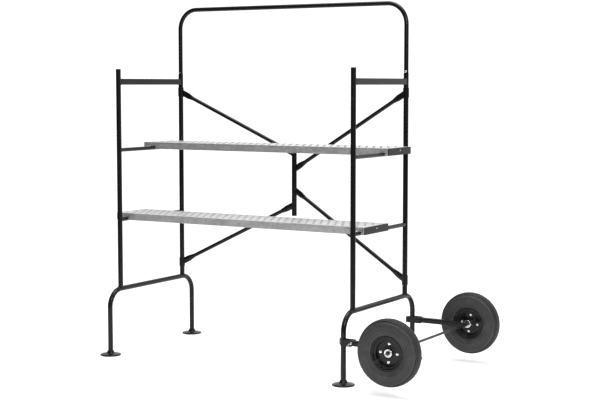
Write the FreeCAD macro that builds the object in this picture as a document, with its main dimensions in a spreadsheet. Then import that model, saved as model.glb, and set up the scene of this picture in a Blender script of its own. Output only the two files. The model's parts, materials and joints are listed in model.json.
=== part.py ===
"""Baker scaffold on foot plates, with a tow wheel kit and a lift-out guard rail.

Frame: +X runs along the decks to the wheel end, +Y runs to the guard rail side, +Z is up.
The origin is on the ground, under the middle of the whole object.
"""
import FreeCAD, Part
import math
import os
import re

from FreeCAD import Placement, Rotation, Vector
from Sketcher import Constraint

doc = FreeCAD.newDocument("baker_scaffold")

# ---------------------------------------------------------------- driving dimensions, in mm
SIZES = {
    # end frames: posts, rungs and leg hoops
    "frame_gap": 1709,          # between the two end frames, along X
    "frame_depth": 676,         # between front and back posts, along Y
    "front_post_top": 1829,
    "back_post_top": 1800,
    "tube_dia": 31.75,
    "tube_wall": 1.8,
    "socket_dia": 28.55,        # the posts' mouths, reamed for a guard rail's legs
    "socket_deep": 110,
    "hoop_bar": 416,            # height of the bar that the posts stand on
    "hoop_bend": 110,
    "rung_dia": 25.4,
    "rung_wall": 1.5,
    "upper_rung": 1312,
    "lower_rung": 864,
    "top_rung": 1748,
    "top_rung_tall": 38,
    "top_rung_wide": 25.4,
    # foot plates
    "foot_dia": 133,
    "foot_rim": 4,              # width of the rim that stands on the ground
    "foot_edge": 6,
    "foot_curl": 6,
    "foot_hollow_tall": 10,     # hollow under the plate
    "foot_boss_dia": 50,
    "foot_boss_low": 15,
    "foot_collar": 3,           # step on which the leg tube sits
    "foot_seat": 30,            # height of that step
    "spigot_dia": 28,
    "spigot_top": 75,
    # guard rail
    "guard_dia": 28.4,
    "guard_top": 2231,
    "guard_bend": 130,
    "guard_inside": 85,         # length of leg inside the back post
    "rivet_head": 15,
    "rivet_head_tall": 3,
    "rivet_shank": 8,
    "rivet_above_post": 8.5,
    # back gate
    "gate_knee": 80,            # how far the middle hinge stands behind the back posts
    "brace_dia": 25.4,
    "brace_wall": 1.5,
    "brace_flat_tall": 40,
    "brace_flat_thick": 12,
    "brace_flat_long": 45,
    "brace_taper_long": 45,
    "brace_high": 1680,
    "brace_low": 515,
    "left_brace_high": 1277,
    "left_brace_low": 941,
    "right_brace_high": 1174,
    "right_brace_low": 1043,
    "hinge_low": 868,
    "hinge_high": 1330,
    "hinge_tube_dia": 25.4,
    "collar_dia": 33.4,
    "collar_low_top": 1012,
    "collar_high_bottom": 1206,
    "collar_gap": 1,
    "post_sleeve_dia": 38,
    "post_sleeve_long": 60,
    # decks
    "deck_long": 1829,
    "deck_wide": 296,
    "deck_deep": 44,
    "deck_above_rung": 37,      # deck top above the rung's axis
    "deck_slide": -15,          # both decks sit towards the left end
    "deck_middle_gap": 1,       # between the two decks' edges, seen from above
    "lower_deck_edge": 22,      # back edge of the lower deck, along Y
    "deck_sheet": 2,            # thickness of the folded steel
    "deck_lip": 14,
    "hook_slack": 4,
    "hook_gap": 0.3,
    "end_bar_thick": 6,
    "hole_dia": 13,
    "hole_pitch": 50,
    "hole_rows": 5,
    "stiffener_wide": 30,
    "stiffener_tall": 20,
    "deck_rivet_dia": 9,
    "deck_rivet_tall": 2.5,
    "deck_rivet_drop": 16,      # below the deck's top
    # wheels
    "wheel_reach": 350.5,       # axle beyond the right end frame, along X
    "axle_height": 243.5,
    "wheel_side": 554,          # wheel's middle plane from the middle of the scaffold
    "tyre_dia": 386,
    "tyre_wide": 96,
    "tyre_wall": 7,
    "bead_wide": 62,            # between the rim's flanges
    "bead_tall": 24,
    "air_tube_dia": 81,
    "air_tube_wall": 2,
    "rim_sheet": 2.5,
    "rim_flange_dia": 196,
    "rim_seat_dia": 180,
    "rim_well_dia": 145,
    "rim_step": 21.6,           # seat's shoulder, from the wheel's middle plane
    "hub_dia": 48,
    "hub_wall": 4,
    "hub_out": 18,
    "hub_in": 49,
    "bearing_wide": 12,
    "rim_bolt_circle": 105,
    "rim_bolt_turn": 26,        # first bolt, past the valve
    "front_wheel_turn": 242,
    "back_wheel_turn": 71,
    "rim_bolt_dia": 8,
    "rim_bolt_head": 14,
    "rim_bolt_head_tall": 6,
    "rim_bolt_end": 2,          # bolt's end beyond its nut
    "valve_dia": 8,
    "valve_side": 12,           # valve's root, from the wheel's middle plane
    "valve_end": 42.6,
    "axle_dia": 16,
    "axle_gap": 0.06,
    "axle_end": 588,
    "washer_dia": 25,
    "washer_thick": 3,
    "cotter_dia": 3,
    "cotter_long": 26,
    "cotter_space": 4,          # between the washer and the pin's axis
    "axle_end_play": 0.5,
    # wheel kit arms
    "arm_side": 448,
    "arm_size": 31.75,
    "arm_wall": 2.5,
    "arm_start": 18,            # beyond the leg's axis
    "arm_end_tall": 38,
    "arm_end_thick": 19,
    "arm_end_long": 60,
    "arm_lap": 15,              # of the pressed end inside the tube
    "clamp_tall": 40,
    "clamp_height": 252,        # of the arm tubes, a little above the axle
    "clamp_thick": 3,
    "clamp_front": 74,          # beyond the leg's axis
    "plate_back": 36,           # behind the leg's axis
    "plate_thick": 4.5,
    "hook_tall": 26,            # the strap's end, in the plate's slot
    "hook_long": 12,
    "clamp_bolt_dia": 8,
    "clamp_bolt_head": 14,
    "clamp_bolt_head_tall": 6,
    "wing_wide": 36,
    "wing_tall": 14,
    "wing_deep": 11.2,
    "wing_thick": 4,
    "bolt_front": 58,
}

cells = doc.addObject("Spreadsheet::Sheet", "sizes")
for row, (alias, number) in enumerate(SIZES.items(), start=1):
    cells.set(f"A{row}", alias)
    cells.set(f"B{row}", str(number))
    cells.setAlias(f"B{row}", alias)
doc.recompute()


def size(alias):
    """The number in the cell with this alias."""
    return float(cells.get(alias))


def formula(text):
    """Turn plain cell names into references to the sheet."""
    return re.sub(r"[a-z_]+", lambda word: f"sizes.{word[0]}" if word[0] in SIZES else word[0], text)


# The whole object's middle lies at the origin, so everything is shifted along X by this much.
LEFT_REACH = "(deck_long / 2 - deck_slide + deck_rivet_tall)"
SHIFT = f"(frame_gap / 2 + wheel_reach + tyre_dia / 2 - {LEFT_REACH}) / 2"
LEFT = f"(-frame_gap / 2 - {SHIFT})"
RIGHT = f"(frame_gap / 2 - {SHIFT})"
MIDDLE = f"(-{SHIFT})"
WHEEL = f"(frame_gap / 2 + wheel_reach - {SHIFT})"
FRONT = "(-frame_depth / 2)"
BACK = "(frame_depth / 2)"

# Turns that lay a Z-facing primitive along another axis.
ALONG_X = Rotation(Vector(0, 1, 0), 90)
ALONG_Y = Rotation(Vector(1, 0, 0), -90)
ALONG_MINUS_Y = Rotation(Vector(1, 0, 0), 90)
UPRIGHT = Rotation()

nodes = []


def bind(item, **formulas):
    """Bind an object's properties to formulas on the sheet's cells."""
    for name, text in formulas.items():
        item.setExpression(name, formula(text))
    return item


def place(item, x="0", y="0", z="0", turn=UPRIGHT):
    """Give an object its turn, then bind its place to the sheet."""
    item.Placement = Placement(Vector(), turn)
    for axis, text in (("x", x), ("y", y), ("z", z)):
        item.setExpression(f"Placement.Base.{axis}", formula(text))
    return item


def keep(item, label):
    """Name a finished sub-part. It becomes one node."""
    item.Label = label
    nodes.append(item)
    return item


def cylinder(radius, height, x="0", y="0", z="0", turn=UPRIGHT):
    item = doc.addObject("Part::Cylinder", "cylinder")
    bind(item, Radius=radius, Height=height)
    return place(item, x, y, z, turn)


def box(length, width, height, x="0", y="0", z="0"):
    item = doc.addObject("Part::Box", "box")
    bind(item, Length=length, Width=width, Height=height)
    return place(item, x, y, z)


def fuse(*pieces):
    item = doc.addObject("Part::MultiFuse", "fuse")
    item.Shapes = list(pieces)
    return item


def cut(base, *tools):
    item = doc.addObject("Part::Cut", "cut")
    item.Base = base
    item.Tool = tools[0] if len(tools) == 1 else fuse(*tools)
    return item


def group(*pieces):
    """Separate solids that share one node, such as a set of bolts."""
    item = doc.addObject("Part::Compound", "group")
    item.Links = list(pieces)
    return item


def outline(body, plane, corners):
    """A closed sketch on one of the body's planes, with every corner bound to the sheet."""
    sketch = body.newObject("Sketcher::SketchObject", "outline")
    flat = next(item for item in body.Origin.OriginFeatures if item.Role == plane)
    sketch.AttachmentSupport = (flat, [""])
    sketch.MapMode = "FlatFace"
    count = len(corners)
    for index in range(count):
        # the sides start on a rough circle, and the constraints below bring them to size
        ends = [math.tau * (index + step) / count for step in (0, 1)]
        start, end = (Vector(50 + 20 * math.cos(turn), 50 + 20 * math.sin(turn), 0) for turn in ends)
        sketch.addGeometry(Part.LineSegment(start, end), False)
    for index in range(count):
        sketch.addConstraint(Constraint("Coincident", index, 2, (index + 1) % count, 1))
    for index, corner in enumerate(corners):
        for kind, axis, text in (("DistanceX", -2, corner[0]), ("DistanceY", -1, corner[1])):
            if text == "0":
                sketch.addConstraint(Constraint("PointOnObject", index, 1, axis))
                continue
            number = sketch.addConstraint(Constraint(kind, -1, 1, index, 1, 50.0))
            sketch.setExpression(f"Constraints[{number}]", formula(text))
    return sketch


def turned(corners, x="0", y="0", z="0", turn=UPRIGHT):
    """A turned piece: corners are (radius, height) pairs, spun about the piece's own Z."""
    body = doc.addObject("PartDesign::Body", "turned")
    sketch = outline(body, "XZ_Plane", corners)
    spin = body.newObject("PartDesign::Revolution", "spin")
    spin.Profile = sketch
    spin.ReferenceAxis = (sketch, ["V_Axis"])
    spin.Angle = 360
    body.Tip = spin
    return place(body, x, y, z, turn)


# ---------------------------------------------------------------- end frames
BEND_PLANES = {
    # turn for the bend at the positive end, then for the bend at the negative end
    "YZ": (Rotation(Vector(1, 1, 1), 120), Rotation(Vector(1, 1, 1), 120) * Rotation(Vector(0, 0, 1), 90)),
    "XZ": (Rotation(Vector(1, 0, 0), 90), Rotation(Vector(1, 0, 0), 90) * Rotation(Vector(0, 0, 1), 90)),
}


def hoop(radius, plane, half, bend, top, low, x, y):
    """A solid bar bent into an upside-down U, with its legs half apart from the middle."""
    turns = BEND_PLANES[plane]
    leg = f"{top} - {bend} - {low}"
    pieces = []
    for sign, turn in (("+", turns[0]), ("-", turns[1])):
        if plane == "YZ":
            leg_at = {"x": x, "y": f"{y} {sign} {half}"}
            bend_at = {"x": x, "y": f"{y} {sign} ({half} - {bend})"}
        else:
            leg_at = {"x": f"{x} {sign} {half}", "y": y}
            bend_at = {"x": f"{x} {sign} ({half} - {bend})", "y": y}
        pieces.append(cylinder(radius, leg, z=low, **leg_at))
        corner = doc.addObject("Part::Torus", "bend")
        bind(corner, Radius1=bend, Radius2=radius)
        corner.Angle3 = 90
        pieces.append(place(corner, z=f"{top} - {bend}", turn=turn, **bend_at))
    run = f"2 * ({half} - {bend})"
    if plane == "YZ":
        pieces.append(cylinder(radius, run, x, f"{y} - {run} / 2", top, ALONG_Y))
    else:
        pieces.append(cylinder(radius, run, f"{x} - {run} / 2", y, top, ALONG_X))
    return fuse(*pieces)


LEG_SIDE = "(frame_depth / 2 + hoop_bend)"


def end_frame(side, x):
    """Posts, rungs and the leg hoop of one end frame, each a tube of its own."""
    solid_hoop = hoop("tube_dia / 2", "YZ", LEG_SIDE, "hoop_bend", "hoop_bar", "foot_seat", x, "0")
    hoop_bore = hoop("(tube_dia / 2 - tube_wall)", "YZ", LEG_SIDE, "hoop_bend", "hoop_bar", "foot_seat",
                     x, "0")
    keep(cut(solid_hoop, hoop_bore), f"{side}_leg_hoop")
    posts = []
    for place_name, y, top in (("front", FRONT, "front_post_top"), ("back", BACK, "back_post_top")):
        length = f"{top} - hoop_bar"
        solid_post = cylinder("tube_dia / 2", length, x, y, "hoop_bar")
        post_bore = cylinder("tube_dia / 2 - tube_wall", length, x, y, "hoop_bar")
        socket = cylinder("socket_dia / 2", "socket_deep", x, y, f"{top} - socket_deep")
        keep(cut(solid_post, post_bore, socket, solid_hoop), f"{side}_{place_name}_post")
        posts.append(solid_post)
    for name in ("upper_rung", "lower_rung"):
        solid_rung = cylinder("rung_dia / 2", "frame_depth", x, FRONT, name, ALONG_Y)
        rung_bore = cylinder("rung_dia / 2 - rung_wall", "frame_depth", x, FRONT, name, ALONG_Y)
        keep(cut(solid_rung, rung_bore, *posts), f"{side}_{name}")
    low = "top_rung - top_rung_tall / 2"
    solid_rung = box("top_rung_wide", "frame_depth", "top_rung_tall", f"{x} - top_rung_wide / 2", FRONT, low)
    rung_bore = box("top_rung_wide - 2 * rung_wall", "frame_depth", "top_rung_tall - 2 * rung_wall",
                    f"{x} - top_rung_wide / 2 + rung_wall", FRONT, f"{low} + rung_wall")
    keep(cut(solid_rung, rung_bore, *posts), f"{side}_top_rung")


def foot(label, x, y):
    """A pressed foot plate: a turned-down rim, a shallow cone, and a spigot inside the leg tube."""
    rim = "foot_dia / 2"
    collar = "tube_dia / 2 + foot_collar"
    corners = [("0", "foot_hollow_tall"), ("foot_boss_dia / 2", "foot_hollow_tall"),
               (f"{rim} - foot_rim - foot_curl", "foot_rim"), (f"{rim} - foot_rim", "0"), (rim, "0"),
               (rim, "foot_edge"), (f"{rim} - foot_curl", "foot_edge + foot_curl / 2"),
               ("foot_boss_dia / 2", "foot_boss_low"), (collar, "foot_seat"), ("spigot_dia / 2", "foot_seat"),
               ("spigot_dia / 2", "spigot_top"), ("0", "spigot_top")]
    keep(turned(corners, x, y), label)


for side_name, side_x in (("left", LEFT), ("right", RIGHT)):
    end_frame(side_name, side_x)
    foot(f"{side_name}_front_foot", side_x, f"-{LEG_SIDE}")
    foot(f"{side_name}_back_foot", side_x, LEG_SIDE)


# ---------------------------------------------------------------- guard rail
def guard_rail():
    """A bent tube whose legs drop into the open tops of the back posts, down to their stop rivets."""
    low = "(back_post_top - guard_inside)"
    sizes_of = ("XZ", "(frame_gap / 2)", "guard_bend", "guard_top", low, MIDDLE, BACK)
    solid_rail = hoop("guard_dia / 2", *sizes_of)
    rail_bore = hoop("(guard_dia / 2 - rung_wall)", *sizes_of)
    shanks = []
    rivets = []
    for x, way in ((RIGHT, "-"), (LEFT, "+")):
        turn = ALONG_Y if way == "-" else ALONG_MINUS_Y
        z = "back_post_top + rivet_above_post"
        # the head stands on one side of the leg, and the shank ends flush with the other side
        reach = "2 * guard_dia"
        hole = cylinder("rivet_shank / 2", reach, x, f"{BACK} {way} {reach} / 2", z, turn)
        shank = cylinder("rivet_shank / 2", "guard_dia", x, f"{BACK} {way} guard_dia / 2", z, turn)
        head = cylinder("rivet_head / 2", "rivet_head_tall", x,
                        f"{BACK} {way} (guard_dia / 2 + rivet_head_tall)", z, turn)
        shanks.append(hole)
        rivets.append(fuse(shank, head))
    keep(cut(solid_rail, rail_bore, *shanks), "guard_rail")
    keep(group(*rivets), "stop_rivets")


guard_rail()


# ---------------------------------------------------------------- back gate
KNEE = "(frame_depth / 2 + gate_knee)"


def hinge():
    """The middle hinge: a tube held in two collars, with the right braces' sleeve between them."""
    tall = "hinge_high - hinge_low"
    pin = cylinder("hinge_tube_dia / 2", tall, MIDDLE, KNEE, "hinge_low")
    bore = cylinder("hinge_tube_dia / 2 - rung_wall", tall, MIDDLE, KNEE, "hinge_low")
    keep(cut(pin, bore), "gate_hinge_tube")

    def ring(low, high):
        outer = cylinder("collar_dia / 2", f"{high} - {low}", MIDDLE, KNEE, low)
        inner = cylinder("hinge_tube_dia / 2", f"{high} - {low}", MIDDLE, KNEE, low)
        return cut(outer, inner)

    keep(group(ring("hinge_low", "collar_low_top"), ring("collar_high_bottom", "hinge_high")),
         "gate_hinge_collars")
    keep(ring("(collar_low_top + collar_gap)", "(collar_high_bottom - collar_gap)"), "gate_hinge_sleeve")


def post_sleeves(side, x):
    """Short sleeves that turn on a back post and carry the braces."""
    rings = []
    for z in ("brace_high", "brace_low"):
        low = f"{z} - post_sleeve_long / 2"
        outer = cylinder("post_sleeve_dia / 2", "post_sleeve_long", x, BACK, low)
        inner = cylinder("tube_dia / 2", "post_sleeve_long", x, BACK, low)
        rings.append(cut(outer, inner))
    keep(group(*rings), f"{side}_gate_sleeves")


def brace(label, x, z, knee_z, collar):
    """A round tube from a post sleeve to the middle hinge, with both ends pressed flat and upright."""
    length = f"sqrt(({MIDDLE} - {x})^2 + gate_knee^2 + ({knee_z} - {z})^2)"
    near_flat = "(brace_flat_long + post_sleeve_dia / 2)"
    near = "(brace_flat_long + post_sleeve_dia / 2 + brace_taper_long)"
    far_flat = f"({length} - brace_flat_long - collar_dia / 2)"
    far = f"({length} - brace_flat_long - collar_dia / 2 - brace_taper_long)"
    tube = cylinder("brace_dia / 2", f"{far} - {near}", z=near)
    bore = cylinder("brace_dia / 2 - brace_wall", f"{far} - {near}", z=near)

    def section(height):
        if height in (near, far):
            ring = bind(doc.addObject("Part::Circle", "section"), Radius="brace_dia / 2")
        else:
            ring = bind(doc.addObject("Part::Ellipse", "section"),
                        MajorRadius="brace_flat_tall / 2", MinorRadius="brace_flat_thick / 2")
        return place(ring, z=height)

    ends = []
    for pair in (("0", near_flat), (near_flat, near), (far, far_flat), (far_flat, length)):
        loft = doc.addObject("Part::Loft", "pressed_end")
        loft.Sections = [section(height) for height in pair]
        loft.Solid = True
        ends.append(loft)
    bar = cut(fuse(tube, *ends), bore)
    way = 1 if x == LEFT else -1
    run = Vector(way * size("frame_gap") / 2, size("gate_knee"), size(knee_z) - size(z))
    # Z lies along the tube, and X, the long way across the pressed ends, is as near upright as it can be
    place(bar, x, BACK, z, Rotation(Vector(0, 0, 1), Vector(), run, "ZXY"))
    sleeve = cylinder("post_sleeve_dia / 2", "4 * post_sleeve_long", x, BACK, f"{z} - 2 * post_sleeve_long")
    keep(cut(bar, sleeve, collar), label)


hinge()
collar_solid = cylinder("collar_dia / 2", "hinge_high - hinge_low + 200", MIDDLE, KNEE, "hinge_low - 100")
for side_name, side_x in (("left", LEFT), ("right", RIGHT)):
    post_sleeves(side_name, side_x)
    for level, z_cell in (("upper", "brace_high"), ("lower", "brace_low")):
        knee_cell = f"{side_name}_{z_cell}"
        brace(f"{side_name}_{level}_brace", side_x, z_cell, knee_cell, collar_solid)


# ---------------------------------------------------------------- decks
def deck(level, rung, front_edge):
    """One plank: a perforated folded sheet hooked over a rung at each end, with a bar across each end."""
    top = f"({rung} + deck_above_rung)"
    middle = f"({MIDDLE} + deck_slide)"
    left_end = f"({middle} - deck_long / 2)"
    right_end = f"({middle} + deck_long / 2)"
    inside_end = f"{left_end} + end_bar_thick"
    run = "deck_long - 2 * end_bar_thick"
    plate = box(run, "deck_wide", "deck_sheet", inside_end, front_edge, f"{top} - deck_sheet")
    keep(cut(plate, punches(top, middle, front_edge)), f"{level}_deck_sheet")

    notches = []
    for x in (LEFT, RIGHT):
        notch_wide = "(rung_dia + 2 * hook_slack)"
        notch_tall = "(deck_deep - deck_above_rung + rung_dia / 2 + hook_gap + 1)"
        notches.append(box(notch_wide, "deck_wide + 2", notch_tall, f"{x} - {notch_wide} / 2",
                           f"{front_edge} - 1", f"{top} - deck_deep - 1"))
    rails = []
    for edge, inward in (("0", ""), ("deck_wide", "-")):
        rail = channel(edge, inward, run)
        place(rail, inside_end, front_edge, top)
        rails.append(cut(rail, *notches))
    keep(group(*rails), f"{level}_deck_rails")

    bars = []
    rivets = []
    for side, x, inward in (("left", left_end, "+"), ("right", right_end, "-")):
        start = x if inward == "+" else f"({x} - end_bar_thick)"
        plate = box("end_bar_thick", "deck_wide", "deck_deep", start, front_edge, f"{top} - deck_deep")
        y = f"{front_edge} + deck_wide / 2"
        z = f"{top} - deck_rivet_drop"
        turn = ALONG_X if inward == "-" else Rotation(Vector(0, 1, 0), -90)
        hole = cylinder("deck_rivet_dia / 4", "end_bar_thick", f"{x} {inward} end_bar_thick", y, z, turn)
        shank = cylinder("deck_rivet_dia / 4", "end_bar_thick", f"{x} {inward} end_bar_thick", y, z, turn)
        head = cylinder("deck_rivet_dia / 2", "deck_rivet_tall", x, y, z, turn)
        rivets.append(fuse(shank, head))
        bars.append(keep(cut(plate, hole), f"{level}_deck_{side}_bar"))
    keep(group(*rivets), f"{level}_deck_rivets")
    ribs = []
    for part_way in ("1 / 4", "1 / 2", "3 / 4"):
        x = f"{left_end} + deck_long * {part_way} - stiffener_wide / 2"
        wide = "(deck_wide - 2 * deck_lip)"
        low = f"{top} - deck_sheet - stiffener_tall"
        outer = box("stiffener_wide", wide, "stiffener_tall", x, f"{front_edge} + deck_lip", low)
        inner = box("stiffener_wide - 2 * deck_sheet", wide, "stiffener_tall - deck_sheet",
                    f"{x} + deck_sheet", f"{front_edge} + deck_lip", low)
        ribs.append(cut(outer, inner))
    keep(group(*ribs), f"{level}_deck_stiffeners")


def channel(edge, inward, length):
    """A C-shaped rail along X, open towards the deck's middle: its web lies on the line edge."""
    def from_edge(distance):
        return f"{edge} - {distance}" if inward else distance

    body = doc.addObject("PartDesign::Body", "rail")
    lip = from_edge("deck_lip")
    web = from_edge("deck_sheet")
    profile = outline(body, "YZ_Plane", [
        (edge, "-deck_sheet"), (lip, "-deck_sheet"), (lip, "-2 * deck_sheet"), (web, "-2 * deck_sheet"),
        (web, "-deck_deep + deck_sheet"), (lip, "-deck_deep + deck_sheet"), (lip, "-deck_deep"),
        (edge, "-deck_deep")])
    pad = body.newObject("PartDesign::Pad", "pad")
    pad.Profile = profile
    bind(pad, Length=length)
    body.Tip = pad
    return body


def punches(top, middle, front_edge):
    """Staggered rows of round punches that perforate a deck's top sheet."""
    pitch = size("hole_pitch")
    rows = int(size("hole_rows"))
    half = size("deck_long") / 2 - pitch
    tools = []
    for row in range(rows):
        y = size("deck_wide") * (row + 1) / (rows + 1)
        stagger = pitch / 2 * (row % 2)
        for step in range(int(2 * half / pitch) + 1):
            x = -half + stagger + step * pitch
            if x <= half:
                tools.append(Part.makeCylinder(size("hole_dia") / 2, size("deck_sheet") * 3,
                                               Vector(x, y, -2 * size("deck_sheet"))))
    item = doc.addObject("Part::Feature", "punches")
    item.Shape = Part.makeCompound(tools)
    return place(item, middle, front_edge, top)


deck("upper", "upper_rung", "(lower_deck_edge + deck_middle_gap)")
deck("lower", "lower_rung", "(lower_deck_edge - deck_wide)")


# ---------------------------------------------------------------- wheels
def hexagon(width, height, x="0", y="0", z="0"):
    item = doc.addObject("Part::Prism", "hexagon")
    item.Polygon = 6
    bind(item, Circumradius=f"{width} / 2 / cos(30)", Height=height)
    return place(item, x, y, z)


def torus(big, small):
    item = doc.addObject("Part::Torus", "torus")
    return bind(item, Radius1=big, Radius2=small)


def ring(outer, inner, low, high):
    """A plain round tube about Z."""
    body = cylinder(outer, f"{high} - ({low})", z=low)
    return cut(body, cylinder(inner, f"{high} - ({low})", z=low))


def set_on_wheel(item, side, spun=True):
    """Lay a piece made about Z, outer side up, on its wheel, with its X at the valve if it is spun."""
    spin = Rotation(Vector(0, 0, 1), size(f"{side}_wheel_turn") if spun else 0)
    if side == "front":
        return place(item, WHEEL, "-wheel_side", "axle_height", ALONG_MINUS_Y * spin)
    return place(item, WHEEL, "wheel_side", "axle_height", ALONG_Y * spin)


def wheel(side):
    """A pneumatic wheel: two bolted rim halves on a hub with a bearing at each end."""
    section = "(tyre_dia - tyre_wide) / 2"
    seat = "(rim_seat_dia / 2)"
    bead_top = f"{seat} + bead_tall"
    carcass = fuse(torus(section, "tyre_wide / 2"), cylinder(bead_top, "bead_wide", z="-bead_wide / 2"))
    hollow = torus(section, "tyre_wide / 2 - tyre_wall")
    mouth = cylinder(bead_top, "bead_wide - 2 * tyre_wall", z="-bead_wide / 2 + tyre_wall")
    bore = cylinder(seat, "tyre_wide", z="-tyre_wide / 2")
    keep(set_on_wheel(cut(carcass, hollow, mouth, bore), side, spun=False), f"{side}_tyre")

    # the stem leaves the inner tube towards the hub, and turns out through the rim
    stem = f"({seat} - valve_dia)"
    stem_in = cylinder("valve_dia / 2", f"{section} - air_tube_dia / 2 + air_tube_wall - {stem}", x=stem,
                       z="valve_side", turn=ALONG_X)
    stem_out = cylinder("valve_dia / 2", "valve_end - valve_side", x=stem, z="valve_side")
    elbow = doc.addObject("Part::Sphere", "elbow")
    bind(elbow, Radius="valve_dia / 2")
    place(elbow, x=stem, z="valve_side")
    air = cut(torus(section, "air_tube_dia / 2"), torus(section, "air_tube_dia / 2 - air_tube_wall"))
    keep(set_on_wheel(fuse(air, stem_in, stem_out, elbow), side), f"{side}_air_tube")

    well = "rim_well_dia / 2"
    corners = [("hub_dia / 2", "0"), (f"{well} + rim_sheet", "0"), (f"{well} + rim_sheet", "rim_step"),
               (seat, "rim_step"), (seat, "bead_wide / 2"), ("rim_flange_dia / 2", "bead_wide / 2"),
               ("rim_flange_dia / 2", "bead_wide / 2 + rim_sheet"),
               (f"{seat} - rim_sheet", "bead_wide / 2 + rim_sheet"),
               (f"{seat} - rim_sheet", "rim_step + rim_sheet"), (well, "rim_step + rim_sheet"),
               (well, "rim_sheet"), ("hub_dia / 2", "rim_sheet")]
    bolt_places = []
    for number in range(4):
        angle = f"(rim_bolt_turn + 90 * {number})"
        bolt_places.append((f"rim_bolt_circle / 2 * cos({angle})", f"rim_bolt_circle / 2 * sin({angle})"))
    for half, turn in (("outer", UPRIGHT), ("inner", Rotation(Vector(1, 0, 0), 180))):
        tools = [cylinder("rim_bolt_dia / 2", "4 * rim_sheet", x, y, "-2 * rim_sheet")
                 for x, y in bolt_places]
        if half == "outer":
            tools.append(cylinder("valve_dia / 2", "bead_wide / 2", x=stem, z="valve_side"))
        keep(set_on_wheel(cut(turned(corners, turn=turn), *tools), side), f"{side}_{half}_rim")

    keep(set_on_wheel(ring("hub_dia / 2", "hub_dia / 2 - hub_wall", "-hub_in", "hub_out"), side),
         f"{side}_hub")
    bearings = [ring("hub_dia / 2 - hub_wall", "axle_dia / 2 + axle_gap", low, f"{low} + bearing_wide")
                for low in ("(-hub_in)", "(hub_out - bearing_wide)")]
    keep(set_on_wheel(group(*bearings), side), f"{side}_bearings")

    fasteners = []
    for x, y in bolt_places:
        head = hexagon("rim_bolt_head", "rim_bolt_head_tall", x, y, "rim_sheet")
        shank = cylinder("rim_bolt_dia / 2", "2 * rim_sheet + rim_bolt_head_tall + rim_bolt_end", x, y,
                         "-rim_sheet - rim_bolt_head_tall - rim_bolt_end")
        nut = hexagon("rim_bolt_head", "rim_bolt_head_tall", x, y, "-rim_sheet - rim_bolt_head_tall")
        thread = cylinder("rim_bolt_dia / 2", "rim_bolt_head_tall", x, y, "-rim_sheet - rim_bolt_head_tall")
        fasteners += [fuse(head, shank), cut(nut, thread)]
    keep(set_on_wheel(group(*fasteners), side), f"{side}_rim_bolts")


for wheel_side_name in ("front", "back"):
    wheel(wheel_side_name)


# ---------------------------------------------------------------- axle and arms
def axle():
    """A solid axle through both arms, with a spacer, a washer and a cotter pin at each end."""
    rod = cylinder("axle_dia / 2", "2 * axle_end", WHEEL, "-axle_end", "axle_height", ALONG_Y)
    pin_y = "(wheel_side + hub_out + axle_end_play + washer_thick + cotter_space)"
    holes = []
    fasteners = []
    for sign, turn in (("-", ALONG_MINUS_Y), ("", ALONG_Y)):
        low = "axle_height - cotter_long / 2"
        holes.append(cylinder("cotter_dia / 2", "cotter_long", WHEEL, f"{sign}{pin_y}", low))
        pin = cylinder("cotter_dia / 2", "cotter_long", WHEEL, f"{sign}{pin_y}", low)
        head = doc.addObject("Part::Sphere", "pin_head")
        bind(head, Radius="cotter_dia")
        place(head, WHEEL, f"{sign}{pin_y}", "axle_height + cotter_long / 2")
        washer = ring("washer_dia / 2", "axle_dia / 2", "0", "washer_thick")
        place(washer, WHEEL, f"{sign}(wheel_side + hub_out + axle_end_play)", "axle_height", turn)
        fasteners += [fuse(pin, head), washer]
        spacer = ring("washer_dia / 2", "axle_dia / 2", "0",
                      "(wheel_side - hub_in - axle_end_play - arm_side - arm_end_thick / 2)")
        place(spacer, WHEEL, f"{sign}(arm_side + arm_end_thick / 2)", "axle_height", turn)
        fasteners.append(spacer)
    keep(cut(rod, *holes), "axle")
    keep(group(*fasteners), "axle_fasteners")


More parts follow.
